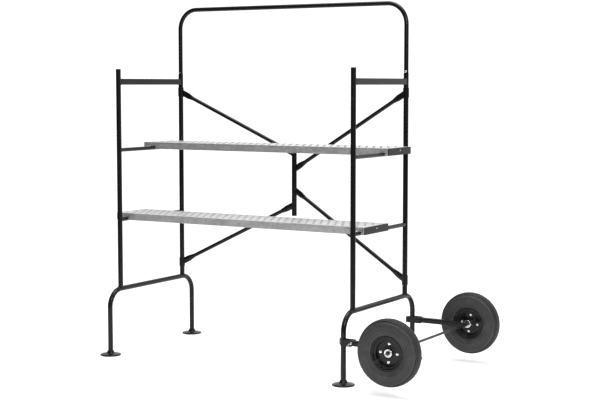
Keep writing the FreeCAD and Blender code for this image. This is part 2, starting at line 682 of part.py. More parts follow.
def arm(side, sign):
    """A square tube clamped to the right end frame's leg, pressed flat and bored for the axle.

    A plate along the tube's inner side reaches past the leg. A strap hooks into the plate's slot, wraps
    round the leg and is drawn up by a bolt with a wing nut.
    """
    leg = "(tube_dia / 2)"
    plate_in = f"({leg} + plate_thick)"
    strap_out = f"({leg} + clamp_thick)"
    reach = f"({WHEEL} - {RIGHT})"

    def start_y(near, far):
        """Where a run between two distances inwards from the leg's axis starts along Y."""
        return f"(-arm_side + {near})" if sign else f"(arm_side - {far})"

    def slab(x_low, x_high, near, far, tall, middle="clamp_height"):
        return box(f"{x_high} - {x_low}", f"{far} - {near}", tall, f"{RIGHT} + {x_low}",
                   start_y(near, far), f"{middle} - {tall} / 2")

    def rod(radius, near, far, x=f"({RIGHT} + bolt_front)", z="clamp_height"):
        return cylinder(radius, f"{far} - {near}", x, start_y(near, far), z, ALONG_Y)

    tube_end = f"({reach} - arm_end_long + arm_lap)"
    outside = slab("arm_start", tube_end, "(-arm_size / 2)", "(arm_size / 2)", "arm_size")
    inside = slab("arm_start", tube_end, "(arm_wall - arm_size / 2)", "(arm_size / 2 - arm_wall)",
                  "(arm_size - 2 * arm_wall)")
    plate = slab("(-plate_back)", "clamp_front", leg, plate_in, "clamp_tall")
    slot = slab(f"(-{strap_out})", f"(-{leg})", leg, plate_in, "hook_tall")
    ends = ("(-arm_end_thick / 2)", "(arm_end_thick / 2)")
    lug = slab(f"({reach} - arm_end_long)", reach, *ends, "arm_end_tall", "axle_height")
    tip = rod("arm_end_tall / 2", *ends, WHEEL, "axle_height")
    bore = rod("axle_dia / 2", *ends, WHEEL, "axle_height")
    keep(cut(fuse(cut(outside, inside), plate, lug, tip), slot, bore,
             rod("clamp_bolt_dia / 2", f"(-{strap_out})", plate_in)), f"{side}_arm")

    y = f"({sign}arm_side)"
    low = "clamp_height - clamp_tall / 2"
    bend = cut(cylinder(strap_out, "clamp_tall", RIGHT, y, low),
               cylinder(leg, "clamp_tall", RIGHT, y, low),
               slab("0", strap_out, f"(-{strap_out})", strap_out, "clamp_tall"),
               slab(f"(-{strap_out})", "0", "0", strap_out, "clamp_tall"))
    strap = fuse(bend, slab("0", "clamp_front", f"(-{strap_out})", f"(-{leg})", "clamp_tall"),
                 slab(f"(-{strap_out})", f"(-{leg})", "0", leg, "clamp_tall"),
                 slab(f"(-{strap_out})", f"(-{leg})", leg, f"({plate_in} + clamp_thick)", "hook_tall"),
                 slab(f"(-{strap_out} - hook_long)", f"(-{strap_out})", plate_in,
                      f"({plate_in} + clamp_thick)", "hook_tall"))
    keep(cut(strap, rod("clamp_bolt_dia / 2", f"(-{strap_out})", plate_in)), f"{side}_clamp")

    # the bolt's head lies on the inner side, and its wing nut on the outer side
    turn = ALONG_Y if sign else ALONG_MINUS_Y
    head = hexagon("clamp_bolt_head", "clamp_bolt_head_tall", z=plate_in)
    shank = cylinder("clamp_bolt_dia / 2", f"{plate_in} + {strap_out} + wing_tall",
                     z=f"-{strap_out} - wing_tall")
    thread = cylinder("clamp_bolt_dia / 2", "2 * wing_tall", z=f"-{strap_out} - 2 * wing_tall")
    boss = cylinder("clamp_bolt_dia", "wing_tall / 2", z=f"-{strap_out} - wing_tall / 2")
    wings = box("wing_wide", "wing_thick", "wing_deep", "-wing_wide / 2", "-wing_thick / 2",
                f"-{strap_out} - wing_tall")
    return [place(item, f"({RIGHT} + bolt_front)", y, "clamp_height", turn)
            for item in (fuse(head, shank), cut(fuse(boss, wings), thread))]


axle()
clamp_bolts = arm("front", "-") + arm("back", "")
keep(group(*clamp_bolts), "clamp_bolts")

# ---------------------------------------------------------------- checks and export
doc.recompute()
for item in doc.Objects:
    if "Invalid" in item.State or "Error" in item.State:
        raise RuntimeError(f"{item.Name} ({item.Label}) failed: {item.State}")
for item in nodes:
    if item.Shape.isNull() or not item.Shape.isValid():
        raise RuntimeError(f"{item.Label} has no valid shape")

os.makedirs("parts", exist_ok=True)
whole = FreeCAD.BoundBox()
for item in nodes:
    item.Shape.exportStep(f"parts/{item.Label}.step")
    whole.add(item.Shape.BoundBox)
print(f"{len(nodes)} nodes, box {whole}")
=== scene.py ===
# %% [markdown]
# # A baker scaffold, finished in Blender
# The scaffold comes from a CAD model that already has every tube, plank and wheel at its real size. This
# lesson keeps that frame and gives it what a drawing leaves out: weld beads, rolled edges, moulded rubber,
# galvanised spangle and glossy paint. Every length is in metres.

# %% Load the frame
import json
import math

import bmesh
import bpy
from mathutils import Matrix, Vector


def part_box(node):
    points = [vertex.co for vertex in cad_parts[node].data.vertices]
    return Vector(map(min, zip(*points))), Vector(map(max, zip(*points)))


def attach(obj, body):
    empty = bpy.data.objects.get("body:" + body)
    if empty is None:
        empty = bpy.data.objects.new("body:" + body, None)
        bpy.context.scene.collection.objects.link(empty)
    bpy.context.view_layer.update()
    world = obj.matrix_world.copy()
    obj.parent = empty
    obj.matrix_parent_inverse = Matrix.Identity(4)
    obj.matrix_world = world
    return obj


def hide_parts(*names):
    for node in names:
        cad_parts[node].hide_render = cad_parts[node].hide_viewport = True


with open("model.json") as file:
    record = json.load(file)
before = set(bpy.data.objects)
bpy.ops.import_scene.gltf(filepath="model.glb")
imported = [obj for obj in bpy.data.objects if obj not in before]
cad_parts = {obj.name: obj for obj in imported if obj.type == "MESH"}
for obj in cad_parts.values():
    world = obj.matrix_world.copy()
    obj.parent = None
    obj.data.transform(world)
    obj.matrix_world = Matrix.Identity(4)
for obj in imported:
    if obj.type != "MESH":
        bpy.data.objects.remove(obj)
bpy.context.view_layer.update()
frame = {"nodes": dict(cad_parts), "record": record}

# %% [markdown]
# ## Writing node trees as expressions
# A node tree is easier to read as maths than as boxes and wires. `Wire` stands for one socket, and adding or
# multiplying wires adds Math nodes. `Tree.node` makes every other node from its type, its settings and its
# inputs. The same two classes serve for shaders and for Geometry Nodes.


# %% Wires and trees
class Wire:
    """One output socket. Arithmetic on it adds Math nodes to its tree."""

    def __init__(self, tree, socket):
        self.tree = tree
        self.socket = socket

    def other(self, name):
        """Another output of the same node."""
        return Wire(self.tree, self.socket.node.outputs[name])

    def maths(self, operation, first, second=0.0):
        return self.tree.node("ShaderNodeMath", {"operation": operation}, {0: first, 1: second})

    def __add__(self, number):
        return self.maths("ADD", self, number)

    __radd__ = __add__

    def __sub__(self, number):
        return self.maths("SUBTRACT", self, number)

    def __rsub__(self, number):
        return self.maths("SUBTRACT", number, self)

    def __mul__(self, number):
        return self.maths("MULTIPLY", self, number)

    __rmul__ = __mul__

    def __truediv__(self, number):
        return self.maths("DIVIDE", self, number)

    def __mod__(self, number):
        return self.maths("FLOORED_MODULO", self, number)

    def above(self, low, high):
        """0 below low, 1 above high, and smooth between."""
        return self.tree.node("ShaderNodeMapRange", {"interpolation_type": "SMOOTHSTEP"},
                              {"Value": self, "From Min": low, "From Max": high})


class Tree:
    """A node tree that is filled by calls to node()."""

    def __init__(self, tree):
        self.tree = tree

    def node(self, kind, settings=None, inputs=None, output=0):
        """Add a node, set it up, join its inputs, and return one of its outputs."""
        made = self.tree.nodes.new(kind)
        for name, value in (settings or {}).items():
            setattr(made, name, value)
        for name, value in (inputs or {}).items():
            if isinstance(value, Wire):
                self.tree.links.new(value.socket, made.inputs[name])
            else:
                made.inputs[name].default_value = value
        return Wire(self, made.outputs[output]) if made.outputs else made

    def blend(self, share, first, second):
        """A colour between two colours."""
        return self.node("ShaderNodeMix", {"data_type": "RGBA"}, {0: share, 6: first, 7: second}, output=2)


# %% [markdown]
# ## One class for every finish
# Each finish is a Principled shader. Numbers that are the same all over sit on the shader's own sockets.
# What varies over the surface is noise on Object coordinates, so that a pattern stays with its piece when a
# wheel turns or a deck lifts.


# %% The finish class
class Finish(Tree):
    """A material: a Principled shader and the patterns that feed it."""

    def __init__(self, name, **sockets):
        self.material = bpy.data.materials.new(name)
        self.material.use_nodes = True
        super().__init__(self.material.node_tree)
        self.tree.nodes.clear()
        self.shader = self.tree.nodes.new("ShaderNodeBsdfPrincipled")
        surface = self.tree.nodes.new("ShaderNodeOutputMaterial")
        self.tree.links.new(self.shader.outputs[0], surface.inputs["Surface"])
        for socket, value in sockets.items():
            self.shader.inputs[socket.replace("_", " ")].default_value = value
        self.place = self.node("ShaderNodeTexCoord", output="Object")

    def stretched(self, x, y, z):
        """Object coordinates, with a scale of its own on each axis."""
        return self.node("ShaderNodeMapping", {}, {"Vector": self.place, "Scale": (x, y, z)})

    def noise(self, scale, detail=2.0, where=None):
        return self.node("ShaderNodeTexNoise", {},
                         {"Vector": where or self.place, "Scale": scale, "Detail": detail}, output="Fac")

    def feed(self, socket, wire):
        self.tree.links.new(wire.socket, self.shader.inputs[socket])

    def bump(self, height, distance, strength=1.0):
        """Raise the surface by this height, in shares of the distance."""
        self.feed("Normal", self.node("ShaderNodeBump", {},
                                      {"Height": height, "Distance": distance, "Strength": strength}))


def grey(value, warm=0.0):
    return (value * (1 + warm), value, value * (1 - warm), 1.0)


# %% [markdown]
# ## Paint, zinc, galvanised steel and rubber
# The tubes are powder coated: a deep black with a fine orange peel and a few dull scuffs. The planks are
# hot-dip galvanised, whose crystals make patches of slightly different grey, called spangle. Fasteners are
# bright zinc plate. The tyres are dull rubber with a little dust on it.


# %% Painted finishes
def paint(name, shade, roughness, scuffs):
    """Powder coat: orange peel, soft variation in gloss, and a few scuffs where the coat is dulled."""
    coat = Finish(name, Specular_IOR_Level=0.26)
    haze = coat.noise(6.0, 4.0)
    rubbed = coat.noise(55.0, 6.0, coat.stretched(1, 1, 0.35)).above(0.66, 0.74) * scuffs
    coat.feed("Base Color", coat.blend(rubbed, grey(shade), grey(shade * 3 + 0.01)))
    coat.feed("Roughness", haze * 0.1 + rubbed * 0.3 + (roughness - 0.05))
    coat.bump(coat.noise(620.0, 1.0) + rubbed * 0.5, 0.00012, 0.6)
    return coat.material


finishes = {
    "frame_paint": paint("gloss_black_paint", 0.007, 0.26, 0.4),
    "deck_bar_paint": paint("satin_black_paint", 0.009, 0.4, 0.8),
    "rim_paint": paint("rim_enamel", 0.007, 0.18, 0.3),
}


# %% Metal finishes
def galvanised():
    """Hot-dip zinc: crystals of different greys, dull streaks along the plank and fine pits."""
    metal = Finish("galvanised_steel", Metallic=0.72)
    cell = metal.node("ShaderNodeTexVoronoi", {}, {"Vector": metal.place, "Scale": 70.0}, output="Color")
    crystal = metal.node("ShaderNodeSeparateColor", {}, {"Color": cell})
    streak = metal.noise(1.0, 5.0, metal.stretched(9, 90, 90))
    tone = crystal * 0.45 + streak * 0.55
    metal.feed("Base Color", metal.blend(tone, grey(0.47), grey(0.68, -0.01)))
    metal.feed("Roughness", crystal * 0.16 + streak * 0.12 + 0.34)
    metal.bump(crystal * 0.3 + metal.noise(900.0), 0.00006)
    return metal.material


def plated(name, low, high, roughness, metallic=1.0):
    """Bright plate or bare steel, with a soft cloudiness and fine turning marks."""
    metal = Finish(name, Metallic=metallic)
    cloud = metal.noise(90.0, 4.0)
    metal.feed("Base Color", metal.blend(cloud, grey(low, 0.01), grey(high, -0.01)))
    metal.feed("Roughness", cloud * 0.14 + (roughness - 0.07))
    metal.bump(metal.noise(1500.0, 1.0), 0.00003)
    return metal.material


finishes["deck_steel"] = galvanised()
finishes["zinc"] = plated("bright_zinc", 0.78, 0.92, 0.24)
# The hole rims get a dark grey plate finish: painted shade that stands in for the shade inside the punched
# holes.
finishes["painted_shade_rims"] = plated("painted_shade_rims", 0.16, 0.3, 0.5, 0.5)
finishes["axle_steel"] = plated("dark_steel", 0.05, 0.09, 0.42, 0.85)


# %% Rubber finishes
def rubber(name, shade, dust):
    """Moulded rubber: a dull grain, and dust that settles in patches."""
    skin = Finish(name, Specular_IOR_Level=0.4)
    settled = skin.noise(16.0, 6.0).above(0.45, 0.75) * dust
    skin.feed("Base Color", skin.blend(settled, grey(shade), grey(shade * 2.6, 0.03)))
    skin.feed("Roughness", settled * 0.2 + skin.noise(45.0, 3.0) * 0.1 + 0.48)
    skin.bump(skin.noise(1100.0, 3.0), 0.00012, 0.7)
    return skin.material


finishes["tyre_rubber"] = rubber("tyre_rubber", 0.036, 0.35)
finishes["tube_rubber"] = rubber("stem_rubber", 0.02, 0.15)
print("finishes", sorted(finishes))

# %% [markdown]
# ## The CAD nodes take their finishes
# Most tubes are already right: they are round, straight or bent where they should be. They stay as they
# are, and only their material changes.

# %% Finish on every CAD node
slots = {part["node"]: part["material_slot"] for part in frame["record"]["subparts"]}
bodies = {node: body for body, members in frame["record"]["behaviour"]["bodies"].items() for node in members}
for node, thing in frame["nodes"].items():
    for slot in thing.material_slots:
        slot.material = finishes[slots[node]]


def middle(node):
    low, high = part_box(node)
    return (low + high) / 2


# %% [markdown]
# ## Three ways to make a shape
# Turned pieces are an outline spun about an axis. Lofted pieces are a row of rings with a skin over them.
# Softened pieces are a merged copy of a CAD node whose sharp edges get a small bevel, because a real edge
# always catches a thin line of light.


# %% Shape helpers
CREASE = math.radians(32)


def placed(name, data):
    """A new object in the scene."""
    thing = bpy.data.objects.new(name, data)
    bpy.context.scene.collection.objects.link(thing)
    return thing


def shown(name, mesh, slot, body, replaces=(), bevel=0.0, finish=None):
    """Make an object from a mesh, give it its finish and body, and round its sharp edges."""
    thing = placed(name, mesh)
    mesh.materials.clear()
    mesh.materials.append(finishes[finish or slot])
    for face in mesh.polygons:
        face.use_smooth = True
        face.material_index = 0
    mesh.set_sharp_from_angle(angle=CREASE)
    if bevel:
        edge = thing.modifiers.new("edge", "BEVEL")
        edge.width = bevel
        edge.segments = 2
        edge.limit_method = "ANGLE"
        edge.angle_limit = CREASE
        edge.harden_normals = True
    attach(thing, body)
    if replaces:
        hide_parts(*replaces)
    return thing


def closed(verts, faces):
    """A mesh from points and faces, with its faces turned outwards."""
    work = bmesh.new()
    points = [work.verts.new(v) for v in verts]
    for face in faces:
        work.faces.new([points[i] for i in face])
    bmesh.ops.remove_doubles(work, verts=work.verts, dist=1e-7)
    bmesh.ops.recalc_face_normals(work, faces=work.faces)
    mesh = bpy.data.meshes.new("shape")
    work.to_mesh(mesh)
    work.free()
    return mesh


def joined(*meshes):
    """Several closed meshes as one."""
    work = bmesh.new()
    for mesh in meshes:
        work.from_mesh(mesh)
    whole = bpy.data.meshes.new("joined")
    work.to_mesh(whole)
    work.free()
    return whole


def moved(mesh, matrix):
    """A copy of a mesh, moved by a matrix."""
    mesh = mesh.copy()
    mesh.transform(matrix)
    return mesh


def facing(centre, axis, turn=0.0):
    """The matrix that sends Z along an axis at a centre, after a turn about Z in degrees."""
    lay = Vector((0, 0, 1)).rotation_difference(Vector(axis)).to_matrix().to_4x4()
    return Matrix.Translation(centre) @ lay @ Matrix.Rotation(math.radians(turn), 4, "Z")


def rounded(corners, steps=4):
    """A closed outline of (x, y, fillet) corners, with each corner rounded by its fillet."""
    points = []
    count = len(corners)
    for number, (x, y, fillet) in enumerate(corners):
        here = Vector((x, y))
        if not fillet:
            points.append(here)
            continue
        back = (Vector(corners[number - 1][:2]) - here).normalized()
        on = (Vector(corners[(number + 1) % count][:2]) - here).normalized()
        half = back.angle(on) / 2
        centre = here + (back + on).normalized() * fillet / math.sin(half)
        start = here + back * fillet / math.tan(half) - centre
        end = here + on * fillet / math.tan(half) - centre
        points += [centre + start.slerp(end, step / steps) * fillet for step in range(steps + 1)]
    return [(point.x, point.y) for point in points]


def rectangle(low, high, fillet, steps):
    """The outline of a rounded rectangle between two opposite corners."""
    return rounded([(low[0], low[1], fillet), (high[0], low[1], fillet),
                    (high[0], high[1], fillet), (low[0], high[1], fillet)], steps)


def turned(outline, steps=64):
    """Spin a closed outline of (radius, height) points about Z."""
    verts, faces, rows = [], [], []
    for radius, height in outline:
        if radius < 1e-6:
            rows.append([len(verts)] * steps)
            verts.append((0, 0, height))
            continue
        rows.append([len(verts) + step for step in range(steps)])
        angles = [math.tau * step / steps for step in range(steps)]
        verts += [(radius * math.cos(angle), radius * math.sin(angle), height) for angle in angles]
    for near, far in zip(rows, rows[1:] + rows[:1]):
        for step in range(steps):
            after = (step + 1) % steps
            face = list(dict.fromkeys([near[step], near[after], far[after], far[step]]))
            if len(face) > 2:
                faces.append(face)
    return closed(verts, faces)


def lofted(rings, loop=False):
    """A skin over rings that have the same number of points, with a face on each end."""
    count = len(rings[0])
    verts = [point for ring in rings for point in ring]
    faces = []
    pairs = list(range(len(rings) - 1)) + ([-1] if loop else [])
    for row in pairs:
        start, end = (row % len(rings)) * count, ((row + 1) % len(rings)) * count
        faces += [(start + k, start + (k + 1) % count, end + (k + 1) % count, end + k)
                  for k in range(count)]
    if not loop:
        faces += [list(range(count)), [len(verts) - 1 - k for k in range(count)]]
    return closed(verts, faces)


def softened(node, bevel):
    """A merged copy of a CAD node with rounded edges, in its place."""
    work = bmesh.new()
    work.from_mesh(frame["nodes"][node].data)
    bmesh.ops.remove_doubles(work, verts=work.verts, dist=1e-5)
    bmesh.ops.dissolve_limit(work, angle_limit=math.radians(0.5), verts=work.verts, edges=work.edges)
    mesh = bpy.data.meshes.new(node)
    work.to_mesh(mesh)
    work.free()
    return shown(f"{node}.soft", mesh, slots[node], bodies[node], [node], bevel)


# %% [markdown]
# ## Soft edges on bars, rails, rungs and collars
# A folded rail or a cut bar has crisp but not razor edges. The bevels are about half a millimetre, so they
# change no size that matters.

# %% Softened nodes
SOFT = {"top_rung": 0.0014, "gate_sleeves": 0.0008, "front_post": 0.0004, "back_post": 0.0004}
for side in ("left", "right"):
    for node, bevel in SOFT.items():
        softened(f"{side}_{node}", bevel)
for node in ("gate_hinge_collars", "gate_hinge_sleeve"):
    softened(node, 0.0008)
for level in ("upper", "lower"):
    softened(f"{level}_deck_rails", 0.0007)
    softened(f"{level}_deck_stiffeners", 0.0007)
    for end in ("left", "right"):
        softened(f"{level}_deck_{end}_bar", 0.0011)

# %% [markdown]
# ## Foot plates
# A foot is a steel disc pressed into a low cone, with a rolled rim and a collar where the leg stands on it.
# It is a turned shape, so one outline makes all four.

# %% Feet
foot_low, foot_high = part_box("left_front_foot")
foot_radius = (foot_high.x - foot_low.x) / 2
leg_radius = 0.0159
foot_outline = rounded([
    (0, 0.010, 0), (0.025, 0.010, 0.004), (foot_radius - 0.010, 0.004, 0.003),
    (foot_radius - 0.004, 0, 0.0012), (foot_radius, 0, 0.0016), (foot_radius, 0.006, 0.003),
    (foot_radius - 0.006, 0.009, 0.006),
    (0.025, 0.015, 0.009), (leg_radius + 0.003, 0.030, 0.002), (0.014, 0.030, 0), (0.014, foot_high.z, 0.002),
    (0, foot_high.z, 0)], 5)
for side in ("left", "right"):
    for place in ("front", "back"):
        node = f"{side}_{place}_foot"
        centre = middle(node)
        centre.z = 0
        shown(f"{node}.plate", moved(turned(foot_outline, 72), Matrix.Translation(centre)), "frame_paint",
              "root", [node])
print("foot radius", round(foot_radius, 4))

# %% [markdown]
# ## Weld beads
# Every rung, post and brace is welded all round. A bead follows the line where one tube meets another, and
# looks like a row of overlapping scales. The lines are worked out from the tubes, and Geometry Nodes set a
# small flattened ball at every step along them.


# %% Where two tubes meet
def seam(centre, along, outline, axis, radius):
    """Where a bar of this outline, which runs along from centre, comes out of a round tube on the axis."""
    axis = Vector(axis)
    along = Vector(along).normalized()
    side = along.cross(Vector((0, 0, 1)))
    side = side.normalized() if side.length > 0.1 else Vector((1, 0, 0))
    rise = side.cross(along)
    flat_way = along - axis * along.dot(axis)
    line = []
    for u, v in outline:
        offset = side * u + rise * v
        flat = offset - axis * offset.dot(axis)
        a, b, c = flat_way.dot(flat_way), flat.dot(flat_way), flat.dot(flat) - radius ** 2
        reach = (-b + math.sqrt(max(b * b - a * c, 0))) / a
        line.append(Vector(centre) + offset + along * reach)
    return line


def ellipse(wide, tall, steps=40):
    """An outline with these half widths."""
    return [(wide * math.cos(math.tau * k / steps), tall * math.sin(math.tau * k / steps))
            for k in range(steps)]


# radii of the round tubes, and half widths of the top rung and of a brace's pressed end
POST, RUNG, SLEEVE, HINGE = 0.015875, 0.0127, 0.019, 0.0167
TOP_RUNG, PRESSED = (RUNG, 0.019), (0.006, 0.0195)
SLEEVE_END = 0.03
UP = (0, 0, 1)
seams = []
for side in ("left", "right"):
    bar = middle(f"{side}_leg_hoop")
    bar.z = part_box(f"{side}_leg_hoop")[1].z - POST
    for place, inward in (("front", 1), ("back", -1)):
        axis = middle(f"{side}_{place}_post")
        for rung, outline in (("upper_rung", ellipse(RUNG, RUNG)), ("lower_rung", ellipse(RUNG, RUNG)),
                              ("top_rung", rectangle([-half for half in TOP_RUNG], TOP_RUNG, 0.002, 2))):
            height = middle(f"{side}_{rung}").z
            seams.append(seam((axis.x, axis.y, height), (0, inward, 0), outline, UP, POST))
        seams.append(seam((axis.x, axis.y, bar.z), UP, ellipse(POST - 1e-5, POST - 1e-5), (0, 1, 0), POST))

knee = middle("gate_hinge_tube")
KNEES = {("left", "upper"): 1.277, ("left", "lower"): 0.941, ("right", "upper"): 1.174,
         ("right", "lower"): 1.043}
for (side, level), height in KNEES.items():
    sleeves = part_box(f"{side}_gate_sleeves")
    post = middle(f"{side}_back_post")
    start = Vector((post.x, post.y,
                    sleeves[1].z - SLEEVE_END if level == "upper" else sleeves[0].z + SLEEVE_END))
    end = Vector((knee.x, knee.y, height))
    seams.append(seam(start, end - start, ellipse(*PRESSED), UP, SLEEVE))
    seams.append(seam(end, start - end, ellipse(RUNG, RUNG), UP, HINGE))
print("welded seams", len(seams))


# %% The weld bead tree
def baked(thing):
    """An object's final mesh. The object itself is removed."""
    view = bpy.context.evaluated_depsgraph_get()
    mesh = bpy.data.meshes.new_from_object(thing.evaluated_get(view), depsgraph=view)
    bpy.data.objects.remove(thing)
    return mesh


def grown(name, tree_maker, source, slot, inputs):
    """Run a Geometry Nodes tree on a source object and return the result as a plain mesh."""
    group = bpy.data.node_groups.new(name, "GeometryNodeTree")
    group.interface.new_socket("Geometry", in_out="INPUT", socket_type="NodeSocketGeometry")
    sockets = {}
    for label, value in inputs.items():
        kind = "NodeSocketObject" if isinstance(value, bpy.types.Object) else (
            "NodeSocketInt" if isinstance(value, int) else "NodeSocketFloat")
        sockets[label] = group.interface.new_socket(label, in_out="INPUT", socket_type=kind)
    group.interface.new_socket("Geometry", in_out="OUTPUT", socket_type="NodeSocketGeometry")
    tree = Tree(group)
    entry = tree.node("NodeGroupInput")
    result = tree_maker(tree, entry, {label: entry.other(label) for label in inputs})
    result = tree.node("GeometryNodeRealizeInstances", {}, {"Geometry": result})
    result = tree.node("GeometryNodeSetShadeSmooth", {}, {"Geometry": result})
    result = tree.node("GeometryNodeSetMaterial", {}, {"Geometry": result, "Material": finishes[slot]})
    leave = group.nodes.new("NodeGroupOutput")
    group.links.new(result.socket, leave.inputs[0])
    growth = source.modifiers.new(name, "NODES")
    growth.node_group = group
    for label, value in inputs.items():
        growth[sockets[label].identifier] = value
    mesh = baked(source)
    print(name, len(mesh.polygons), "faces")
    return mesh


def loops_object(lines):
    """The lines as one curve object with a closed run of straight steps for each."""
    data = bpy.data.curves.new("lines", "CURVE")
    data.dimensions = "3D"
    for line in lines:
        run = data.splines.new("POLY")
        run.points.add(len(line) - 1)
        for point, place in zip(run.points, line):
            point.co = (*place, 1.0)
        run.use_cyclic_u = True
    return placed("lines", data)


def bead_tree(tree, entry, size):
    """Flattened balls of slightly different sizes, at every step along the seams."""
    points = tree.node("GeometryNodeCurveToPoints", {"mode": "LENGTH"},
                       {"Curve": entry, "Length": size["Spacing"]})
    scale = tree.node("FunctionNodeRandomValue", {"data_type": "FLOAT"},
                      {"Min": 0.85, "Max": 1.15, "Seed": 4}, output=1)
    ball = tree.node("GeometryNodeMeshIcoSphere", {}, {"Radius": size["Radius"], "Subdivisions": 1})
    flat = tree.node("GeometryNodeTransform", {}, {"Geometry": ball, "Scale": (1.0, 1.0, 0.75)})
    return tree.node("GeometryNodeInstanceOnPoints", {}, {
        "Points": points, "Instance": flat, "Rotation": points.other("Rotation"), "Scale": scale})


beads = grown("weld_beads", bead_tree, loops_object(seams), "frame_paint",
              {"Radius": 0.0029, "Spacing": 0.0026})
shown("frame_welds", beads, "frame_paint", "root")

# %% [markdown]
# ## Perforated planks
# Each plank has five staggered rows of holes, punched upwards, so that every hole stands in a low rolled rim
# that grips a boot. The CAD sheet already has the holes. Geometry Nodes lay the same grid of points over it
# and put a thin ring of twelve sides on each.


# %% The hole rims
def rim_tree(tree, entry, size):
    """Rings on a staggered grid. The source object only carries the tree."""
    across = size["Rows"] - 1
    grid = tree.node("GeometryNodeMeshGrid", {}, {
        "Size X": (size["Count"] - 1) * size["Pitch"], "Size Y": across * size["Row Gap"],
        "Vertices X": size["Count"], "Vertices Y": size["Rows"]})
    place = tree.node("GeometryNodeInputPosition")
    y = tree.node("ShaderNodeSeparateXYZ", {}, {0: place}, output="Y")
    row = y.maths("ROUND", y / size["Row Gap"] + across / 2)
    shift = tree.node("ShaderNodeCombineXYZ", {}, {"X": (row % 2) * size["Pitch"] / 2})
    staggered = tree.node("GeometryNodeSetPosition", {}, {"Geometry": grid, "Offset": shift})
    path = tree.node("GeometryNodeCurvePrimitiveCircle", {}, {"Resolution": 12, "Radius": size["Ring"]})
    around = tree.node("GeometryNodeCurvePrimitiveCircle", {}, {"Resolution": 6, "Radius": size["Thick"]})
    profile = tree.node("GeometryNodeTransform", {}, {"Geometry": around, "Scale": (1.0, RIM_TALL, 1.0)})
    ring = tree.node("GeometryNodeCurveToMesh", {}, {"Curve": path, "Profile Curve": profile})
    return tree.node("GeometryNodeInstanceOnPoints", {}, {"Points": staggered, "Instance": ring})


PITCH, HOLE, ROWS = 0.050, 0.013, 5
RIM, RIM_TALL = 0.0007, 1.6
rails_low, rails_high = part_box("upper_deck_rails")
row_gap = (rails_high.y - rails_low.y) / (ROWS + 1)
for level in ("upper", "lower"):
    low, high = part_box(f"{level}_deck_sheet")
    bar_left, bar_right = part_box(f"{level}_deck_left_bar")[0].x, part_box(f"{level}_deck_right_bar")[1].x
    count = int((bar_right - bar_left - 2 * PITCH) / PITCH) + 1
    seed = placed("seed", bpy.data.meshes.new("seed"))
    rims = grown(f"{level}_hole_rims", rim_tree, seed, "deck_steel", {
        "Pitch": PITCH, "Row Gap": row_gap, "Rows": ROWS, "Count": count,
        "Ring": HOLE / 2 + RIM, "Thick": RIM})
    grid_x = bar_left + PITCH + (count - 1) * PITCH / 2
    rims.transform(Matrix.Translation((grid_x, (low.y + high.y) / 2, high.z)))
    print("rim height", round(max(v.co.z for v in rims.vertices) - high.z, 5))
    # The rims take the dark painted-shade finish, so that each hole shows as a dark dash, as the shade inside
    # it would.
    shown(f"{level}_deck_hole_rims", rims, "deck_steel", f"{level}_deck", finish="painted_shade_rims")

# %% [markdown]
# ## Rivets with domed heads
# The rivets that close the planks' ends, and the two that stop the guard rail, are turned domes.


# %% Domes
WHEEL_SIDES = (("front", -1), ("back", 1))


def dome(radius, height, steps=8):
    """A low dome on a flat base, with Z out of its top."""
    curve = [(radius * math.cos(math.pi / 2 * k / steps), height * math.sin(math.pi / 2 * k / steps))
             for k in range(steps + 1)]
    return turned([(0, 0), *curve[:-1], (0, height)], 32)


for level in ("upper", "lower"):
    low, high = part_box(f"{level}_deck_rivets")
    domes = []
    for axis, x in (((-1, 0, 0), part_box(f"{level}_deck_left_bar")[0].x),
                    ((1, 0, 0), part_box(f"{level}_deck_right_bar")[1].x)):
        domes.append(moved(dome((high.z - low.z) / 2, 0.0025),
                           facing((x, (low.y + high.y) / 2, (low.z + high.z) / 2), axis)))
    shown(f"{level}_deck_rivet_heads", joined(*domes), "zinc", f"{level}_deck", [f"{level}_deck_rivets"])

low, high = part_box("stop_rivets")
rail_low, rail_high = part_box("guard_rail")
level_z = (low.z + high.z) / 2
heads = []
for side, way in (("right", -1), ("left", 1)):
    post = middle(f"{side}_back_post")
    near, far = (rail_low.y, rail_high.y) if way < 0 else (rail_high.y, rail_low.y)
    heads.append(moved(dome((high.z - low.z) / 2, 0.003), facing((post.x, near, level_z), (0, way, 0))))
    heads.append(moved(dome(0.0045, 0.0012), facing((post.x, far, level_z), (0, -way, 0))))
shown("stop_rivet_heads", joined(*heads), "zinc", "guard_rail", ["stop_rivets"])

# %% [markdown]
# ## Tyres
# A small pneumatic tyre: a rounded tread with straight ribs, moulded rings on its wall, and a bead that sits
# in the rim. The section is a rule, a squared-off circle, so it is written as one. Grooves and rings are
# added along its normal, and the result is spun about the axle.

# %% Tyre section
tyre_low, tyre_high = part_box("front_tyre")
TYRE, HALF = (tyre_high.z - tyre_low.z) / 2, (tyre_high.y - tyre_low.y) / 2
SECTION = TYRE - HALF
SEAT, WEB, FLANGE = 0.090, 0.031, 0.098
WALL, BEAD = 0.007, 0.0185
RAISED = 0.0018  # room for the raised rings inside the tyre's real width
SQUARE = 0.80    # 1 is a circle, and less is squarer


def wall_point(turn):
    """A point of the tyre's outside, from 0 at the tread's middle to 1 near the bead."""
    angle = turn * math.radians(152)
    across, out = math.sin(angle), math.cos(angle)
    deep = HALF if out > 0 else 0.0535
    return Vector((SECTION + deep * math.copysign(abs(out) ** SQUARE, out),
                   (HALF - RAISED) * abs(across) ** SQUARE))


